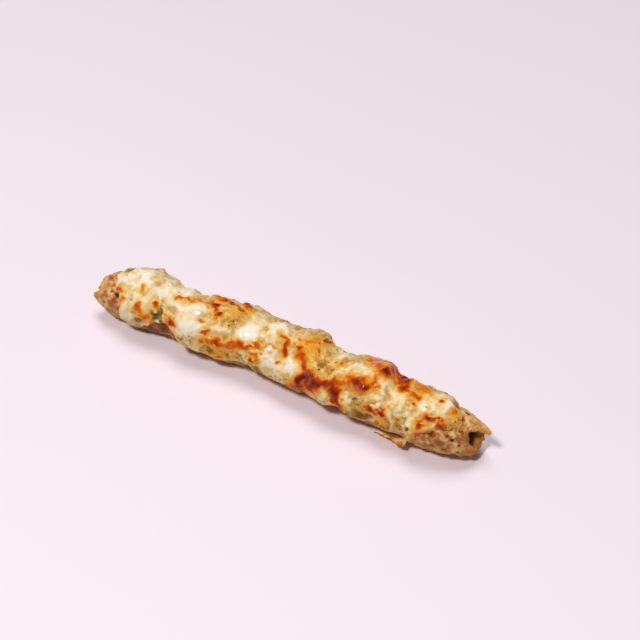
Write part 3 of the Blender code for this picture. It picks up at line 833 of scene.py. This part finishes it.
# Painted shade, dark brown, in the crease and the valley
cream = cheese.mix(cheese.spread(cheese.stored("painted_crease_shade"), 0.12, 0.75, 0, 0.96), cream, paint(84, 46, 12))
gaps = cheese.math("SUBTRACT", cheese.blend((blotch, 1.2), (fine, 0.5)), 0.5)
seen = cheese.math("ADD", cheese.stored("bare"), gaps)
cream = cheese.mix(cheese.spread(seen, 0.3, 0.8, 0, 0.76), cream, paint(100, 66, 26))
# Painted shade down both sides, golden and darker
painted_side_shade = cheese.math("MULTIPLY", cheese.stored("painted_side_shade"), 0.6)
cream = cheese.mix(painted_side_shade, cream, paint(252, 226, 156), "MULTIPLY")
# Painted shade, grey, where the cheese turns down and over its far side
cream = cheese.mix(cheese.stored("painted_shade"), cream, paint(206, 200, 186), "MULTIPLY")
# Browning, from gold through orange to a dark red brown
swing = cheese.blend((fine, 0.22), (blotch, 0.35))
toast = cheese.math("ADD", cheese.stored("brown"), cheese.math("SUBTRACT", swing, 0.5))
crust = cheese.ramp(
    toast,
    (0.06, paint(246, 212, 132)),
    (0.17, paint(239, 186, 84)),
    (0.3, paint(230, 154, 44)),
    (0.42, paint(222, 122, 20)),
    (0.54, paint(212, 92, 8)),
    (0.68, paint(180, 62, 6)),
    (0.82, paint(138, 40, 6)),
    (0.96, paint(86, 25, 6)),
)
skin = cheese.mix(cheese.spread(toast, 0.02, 0.3), cream, crust)
cheese.link(skin, cheese.shader.inputs["Base Color"])
gloss = cheese.spread(toast, 0.1, 0.7, 0.3, 0.16)
gloss = cheese.math("ADD", gloss, cheese.math("MULTIPLY", fine, 0.08))
cheese.link(gloss, cheese.shader.inputs["Roughness"])
cheese.link(cheese.spread(toast, 0.1, 0.7, 0.4, 0.08), cheese.shader.inputs["Subsurface Weight"])
cheese.shader.inputs["Subsurface Radius"].default_value = (1.0, 0.62, 0.34)
cheese.shader.inputs["Subsurface Scale"].default_value = 0.9 * MM
cheese.shader.inputs["Specular IOR Level"].default_value = 0.1
cheese.shader.inputs["Specular Tint"].default_value = paint(255, 206, 150)
fat = cheese.math("MULTIPLY", cheese.spread(toast, 0.25, 0.65, 0.2, 0.85), cheese.stored("glossy"))
cheese.link(fat, cheese.shader.inputs["Coat Weight"])
cheese.shader.inputs["Coat Roughness"].default_value = 0.07
finer = cheese.math("MULTIPLY", cheese.mottle(0.6 * MM, 2), 0.15)
ripples = cheese.math("ADD", cheese.mottle(1.6 * MM, 2), finer)
# Blisters are taut, so the ripples fade where the cheese is browned
cheese.bump(cheese.math("MULTIPLY", ripples, cheese.spread(toast, 0.35, 0.65, 1.0, 0.25)), 0.24 * MM)
add_piece(cheese_mesh, cheese.material, "melted_cheese", "melted_cheese")

# Flecks of cracked pepper and of dried green herb, mixed into the mince and sprinkled on the cheese. They
# stuck where they fell, half sunk, so each stands only a little proud of the surface.
both = bmesh.new()
both.from_mesh(meat_mesh)
both.from_mesh(cheese_mesh)
bmesh.ops.scale(both, vec=(1 / MM, 1 / MM, 1 / MM), verts=both.verts)
skin_tree = BVHTree.FromBMesh(both)
both.free()

# Place along X and angle, and length in mm
PEPPER = [
    (22.8, 37, 1.4), (20.4, 39, 0.9), (25.5, 15, 0.7), (81.6, 68, 1.5), (45.8, 70, 0.8), (41.1, 89, 0.9),
    (56.9, 88, 1.1), (37.0, -10, 0.6), (-43.0, 71, 1.0), (-85.0, 7, 0.8), (48.5, 36, 1.0),
    (-89.6, 47, 0.9), (69.5, 23, 0.8), (88.8, 62, 1.2), (61.0, 45, 0.8), (-72.6, 5, 0.6), (18.0, 18, 0.5),
    (29.0, 24, 0.5), (66.0, 80, 0.7), (96.5, 84, 0.9),
]
HERB = [
    (43.0, 63, 2.1), (71.5, 68, 2.6), (67.5, 82, 1.3), (51.0, 80, 1.2), (-26.0, 32, 1.3),
    (-23.0, 30, 1.0), (24.0, 30, 0.9), (58.0, 96, 1.4), (-8.0, 96, 1.6), (76.0, 20, 0.7), (35.0, 92, 1.0),
]
# The rest are scattered
LOOSE_PEPPER, LOOSE_HERB = 38, 34
for fleck in range(LOOSE_PEPPER):
    PEPPER.append((chance.uniform(-97, 97), chance.uniform(-112, 112), chance.uniform(0.3, 0.7)))
for fleck in range(LOOSE_HERB):
    HERB.append((chance.uniform(-95, 95), chance.uniform(-112, 112), chance.uniform(0.5, 1.2)))


def sprinkle(name, spots, width, height, rounds):
    """Small uneven grains, each turned its own way and half sunk where it fell."""
    shape = bmesh.new()
    for place, degrees, length in spots:
        turn = math.radians(degrees)
        outward = Vector((0, -math.sin(turn), math.cos(turn)))
        middle = Vector((place, along(DRIFT, place * MM), AXIS_HEIGHT / MM))
        spot, facing = skin_tree.ray_cast(middle + outward * 40, -outward)[:2]
        if facing.dot(outward) < 0.4:
            continue
        spot *= MM
        size = length * MM / 2
        lying = facing.to_track_quat("Z", "X").to_matrix().to_4x4()
        lying @= Matrix.Rotation(chance.uniform(0, 6.3), 4, "Z")
        stretched = Matrix.Diagonal((size, size * width * chance.uniform(0.7, 1.3), size * height, 1))
        grain = bmesh.ops.create_icosphere(
            shape, subdivisions=rounds, radius=1, matrix=Matrix.Translation(spot) @ lying @ stretched)
        for vert in grain["verts"]:
            vert.co += (vert.co - spot) * 0.7 * noise.noise(vert.co / (0.5 * MM))
    bmesh.ops.recalc_face_normals(shape, faces=shape.faces)
    return finish_mesh(name, shape)


pepper = Finish("cracked_pepper")
pepper.link(
    pepper.ramp(
        pepper.mottle(0.4 * MM, 2),
        (0.35, paint(34, 16, 6)),
        (0.55, paint(70, 40, 18)),
        (0.7, paint(122, 84, 46)),
    ),
    pepper.shader.inputs["Base Color"],
)
pepper.shader.inputs["Roughness"].default_value = 0.5
pepper.shader.inputs["Specular IOR Level"].default_value = 0.12
pepper.bump(pepper.mottle(0.2 * MM, 2), 0.05 * MM)
add_piece(sprinkle("pepper_flecks", PEPPER, 0.75, 0.5, 1), pepper.material, "kofta_meat")

herb = Finish("dried_herb")
herb.link(
    herb.ramp(
        herb.mottle(0.5 * MM, 2),
        (0.32, paint(70, 62, 6)),
        (0.52, paint(112, 102, 20)),
        (0.7, paint(158, 144, 58)),
    ),
    herb.shader.inputs["Base Color"],
)
herb.shader.inputs["Roughness"].default_value = 0.45
herb.shader.inputs["Specular IOR Level"].default_value = 0.12
herb.bump(herb.mottle(0.25 * MM, 2), 0.06 * MM)
add_piece(sprinkle("herb_flecks", HERB, 0.6, 0.3, 2), herb.material, "kofta_meat")

# The crisp strand. Some cheese ran off the near edge, spread in a thin tail beside the roll and fried
# hard along its outer rim, while the part next to the roll stayed pale.
STRAND_STEPS = 60
# Its middle line in mm, then its half width and half thickness in mm
STRAND = (
    (53.6, -10.8, 1.0, 0.3, 0.2), (56.5, -10.5, 1.0, 0.8, 0.3), (59.5, -10.7, 1.3, 1.2, 0.35),
    (62.5, -10.5, 1.5, 1.5, 0.35), (65.2, -11.1, 2.0, 1.9, 0.4), (67.2, -12.3, 3.0, 2.1, 0.45),
    (69.2, -13.4, 4.6, 2.1, 0.55), (71.0, -14.0, 6.4, 1.8, 0.6),
)
shape = bmesh.new()
layer = shape.verts.layers.int.new("upper")
bmesh.ops.create_grid(shape, x_segments=STRAND_STEPS, y_segments=4, size=1)
for item in bmesh.ops.extrude_face_region(shape, geom=shape.faces[:])["geom"]:
    if isinstance(item, bmesh.types.BMVert):
        item[layer] = 1
rims = []
for vert in shape.verts:
    share = (vert.co.x + 1) / 2 * (len(STRAND) - 1)
    before = min(int(share), len(STRAND) - 2)
    ease = (share - before) ** 2 * (3 - 2 * (share - before))
    x, y, z, half_width, half_depth = (
        low + (high - low) * ease for low, high in zip(STRAND[before], STRAND[before + 1]))
    x = STRAND[before][0] + (STRAND[before + 1][0] - STRAND[before][0]) * (share - before)
    ripple = noise.noise(Vector((x / 1.7, 3, 1)))
    side = vert.co.y * half_width * (1 + 0.5 * noise.noise(Vector((x / 1.3, 7, vert.co.y))))
    lift = half_depth * (1 - 0.8 * vert.co.y**2) * (1 if vert[layer] else -1)
    rims.append(0.5 - 0.5 * vert.co.y)
    vert.co = Vector((x, y + side + 0.5 * ripple, max(0.1, z + lift + 0.5 * side + 0.25 * ripple))) * MM
bmesh.ops.recalc_face_normals(shape, faces=shape.faces)
strand_mesh = finish_mesh("crisp_strand", shape)
store(strand_mesh, "rim", rims)
crisp = Finish("crisp_cheese")
crisp.link(
    crisp.ramp(
        crisp.blend((crisp.stored("rim"), 1.0), (crisp.mottle(2.4 * MM, 3), 1.2)),
        (0.2, paint(242, 222, 172)),
        (0.5, paint(246, 208, 132)),
        (0.74, paint(228, 154, 58)),
        (1.0, paint(158, 84, 20)),
    ),
    crisp.shader.inputs["Base Color"],
)
crisp.shader.inputs["Roughness"].default_value = 0.28
crisp.shader.inputs["Subsurface Weight"].default_value = 0.3
crisp.shader.inputs["Subsurface Radius"].default_value = (1.0, 0.6, 0.3)
crisp.shader.inputs["Subsurface Scale"].default_value = 0.5 * MM
crisp.bump(crisp.mottle(1.0 * MM, 2), 0.12 * MM)
add_piece(strand_mesh, crisp.material, "melted_cheese")

# The plain pale table that the roll lies on, one broad light with one soft box, and the camera, which
# looks down at the roll from the near side as the viewer does.
floor_shape = bmesh.new()
bmesh.ops.create_grid(floor_shape, x_segments=1, y_segments=1, size=3)
floor = bpy.data.objects.new("floor", finish_mesh("floor", floor_shape))
bpy.context.scene.collection.objects.link(floor)
table = Finish("pale_table")
board = table.mix(table.mottle(0.4), paint(245, 235, 247), paint(249, 239, 251))
table.link(board, table.shader.inputs["Base Color"])
table.shader.inputs["Roughness"].default_value = 0.6
floor.data.materials.append(table.material)

world = bpy.data.worlds.new("room")
world.use_nodes = True
world.node_tree.nodes["Background"].inputs["Color"].default_value = paint(250, 247, 252)
world.node_tree.nodes["Background"].inputs["Strength"].default_value = 0.12
bpy.context.scene.world = world
bpy.context.scene.view_settings.view_transform = "Standard"


# A broad, even light comes from above and behind, so wide that the fat on the cheese mirrors no edge of it
overhead = bpy.data.lights.new("overhead", "SUN")
overhead.energy = 1.4
overhead.angle = math.radians(30)
overhead.color = paint(255, 250, 246)[:3]
# A smaller lamp in front of the roll and above it puts the glints on the blisters
soft_box = bpy.data.lights.new("soft_box", "AREA")
soft_box.energy = 20
soft_box.size = 0.28
soft_box.color = paint(255, 252, 248)[:3]
for lamp, place in ((overhead, Vector((-0.4, 0.6, 1.9))), (soft_box, Vector((-0.2, -0.92, 1.66)))):
    light = bpy.data.objects.new(lamp.name, lamp)
    light.location = place
    light.rotation_euler = (-place).to_track_quat("-Z", "Y").to_euler()
    bpy.context.scene.collection.objects.link(light)
    light.visible_glossy = lamp is soft_box

CAMERA_PLACE = Vector((0.25394, -0.45954, 0.53788))
CAMERA_DOWN, CAMERA_HEADING, CAMERA_ROLL = map(math.radians, (43.6685, -27.1624, 2.1913))
ahead = Vector((
    math.cos(CAMERA_DOWN) * math.sin(CAMERA_HEADING),
    math.cos(CAMERA_DOWN) * math.cos(CAMERA_HEADING),
    -math.sin(CAMERA_DOWN),
))
level = ahead.cross(Vector((0, 0, 1))).normalized()
upright = level.cross(ahead)
sideways = level * math.cos(CAMERA_ROLL) + upright * math.sin(CAMERA_ROLL)
lens = bpy.data.cameras.new("camera")
lens.lens = 89.756
lens.sensor_width = 36
camera = bpy.data.objects.new("camera", lens)
turned = Matrix((sideways, sideways.cross(ahead), -ahead)).transposed()
camera.matrix_world = Matrix.Translation(CAMERA_PLACE) @ turned.to_4x4()
bpy.context.scene.collection.objects.link(camera)
bpy.context.scene.camera = camera
